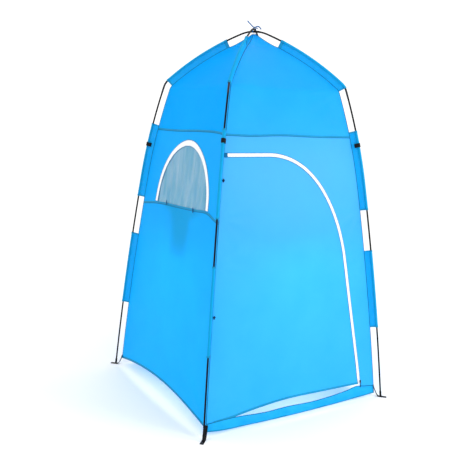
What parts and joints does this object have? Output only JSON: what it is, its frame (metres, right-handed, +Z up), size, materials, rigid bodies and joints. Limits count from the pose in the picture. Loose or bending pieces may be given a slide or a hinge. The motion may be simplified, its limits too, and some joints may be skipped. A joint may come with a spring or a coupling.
{
  "type": "privacy shower tent",
  "caption": "Tall square privacy tent: crossed pole arches carry a cloth cabin with a zipped arch door and a mesh window with an inner flap.",
  "frame": {"origin": "on the ground at the middle of the base", "axes": "+Z up; the door wall faces -Y and the window wall faces -X"},
  "size_m": [1.2622, 1.2622, 2.156],
  "materials": {
    "black_pole": "satin black fibreglass",
    "black_ferrule": "satin black",
    "grey_metal": "dull zinc grey",
    "black_plastic": "matt",
    "elastic_cord": "braided elastic",
    "sleeve_cloth": "thin woven polyester",
    "roof_cloth": "thin woven polyester",
    "wall_cloth": "thin woven polyester",
    "white_tape": "woven zip tape",
    "window_net": "fine net",
    "black_webbing": "ribbed webbing",
    "navy_tape": "woven tape"
  },
  "bodies": {
    "frame": {"lower_rod_front_left": "black_pole", "lower_rod_front_right": "black_pole", "lower_rod_rear_right": "black_pole", "lower_rod_rear_left": "black_pole", "middle_rod_front_left": "black_pole", "middle_rod_front_right": "black_pole", "middle_rod_rear_right": "black_pole", "middle_rod_rear_left": "black_pole", "upper_rod_front_left": "black_pole", "upper_rod_front_right": "black_pole", "upper_rod_rear_right": "black_pole", "upper_rod_rear_left": "black_pole", "roof_rod_front_left": "black_pole", "roof_rod_front_right": "black_pole", "roof_rod_rear_right": "black_pole", "roof_rod_rear_left": "black_pole", "leg_ferrules": "black_ferrule", "shoulder_elbows": "grey_metal", "crown_ferrules": "black_ferrule", "pole_tips": "black_plastic", "shock_cords": "elastic_cord", "lower_sleeve_front_left": "sleeve_cloth", "lower_sleeve_front_right": "sleeve_cloth", "lower_sleeve_rear_right": "sleeve_cloth", "lower_sleeve_rear_left": "sleeve_cloth", "upper_sleeve_front_left": "sleeve_cloth", "upper_sleeve_front_right": "sleeve_cloth", "upper_sleeve_rear_right": "sleeve_cloth", "upper_sleeve_rear_left": "sleeve_cloth", "roof_sleeves": "sleeve_cloth", "sleeve_bands": "black_webbing", "foot_straps": "black_webbing", "foot_eyelets": "grey_metal", "front_roof_panel": "roof_cloth", "right_roof_panel": "roof_cloth", "rear_roof_panel": "roof_cloth", "left_roof_panel": "roof_cloth", "front_wall": "wall_cloth", "right_wall": "wall_cloth", "rear_wall": "wall_cloth", "window_wall_upper": "wall_cloth", "window_wall_lower": "wall_cloth", "sill_band": "wall_cloth", "door_zip_tape_wall": "white_tape", "window_mesh": "window_net", "window_zip_tape": "white_tape", "window_loops": "navy_tape", "apex_tie_knot": "navy_tape", "apex_webbing": "black_webbing", "apex_tail_long": "navy_tape", "apex_tail_short": "navy_tape"},
    "door": {"door_panel": "wall_cloth", "door_zip_tape_door": "white_tape"},
    "door_slider": {"door_zip_slider": "grey_metal"},
    "door_pull": {"door_zip_pull": "black_webbing"},
    "window_flap": {"window_flap": "wall_cloth"},
    "window_slider": {"window_zip_slider": "grey_metal"},
    "window_pull": {"window_zip_pull": "navy_tape"},
    "tie_upper": {"door_tie_upper": "navy_tape"},
    "tie_lower": {"door_tie_lower": "navy_tape"}
  },
  "joints": [
    {"name": "door_hinge", "type": "hinge", "parent": "frame", "child": "door", "pos_m": [-0.54342, -0.57386, 0.105], "axis": [-0.1059, -0.1059, -0.9887], "range_deg": [0, 115]},
    {"name": "door_zip_slide", "type": "slide", "parent": "frame", "child": "door_slider", "axis": [-0.1439, 0.0916, 0.9853], "range_m": [0, 0.7]},
    {"name": "door_pull_swing", "type": "hinge", "parent": "door_slider", "child": "door_pull", "pos_m": [0.45941, -0.57338, 0.11179], "axis": [-1, 0, 0], "range_deg": [0, 150]},
    {"name": "window_flap_hinge", "type": "hinge", "parent": "frame", "child": "window_flap", "pos_m": [-0.45691, -0.02, 1.104], "axis": [0, -1, 0], "range_deg": [0, 155]},
    {"name": "window_zip_slide", "type": "slide", "parent": "frame", "child": "window_slider", "axis": [0.124, -0.1687, 0.9778], "range_m": [0, 0.08]},
    {"name": "window_pull_swing", "type": "hinge", "parent": "window_slider", "child": "window_pull", "pos_m": [-0.45332, 0.289, 1.128], "axis": [0, -1, 0], "range_deg": [0, 150]},
    {"name": "tie_upper_swing", "type": "hinge", "parent": "frame", "child": "tie_upper", "pos_m": [-0.43964, -0.44324, 1.301], "axis": [-0.1059, -0.1059, -0.9887], "range_deg": [0, 70]},
    {"name": "tie_lower_swing", "type": "hinge", "parent": "frame", "child": "tie_lower", "pos_m": [-0.51681, -0.52041, 0.616], "axis": [-0.1059, -0.1059, -0.9887], "range_deg": [0, 70]}
  ]
}
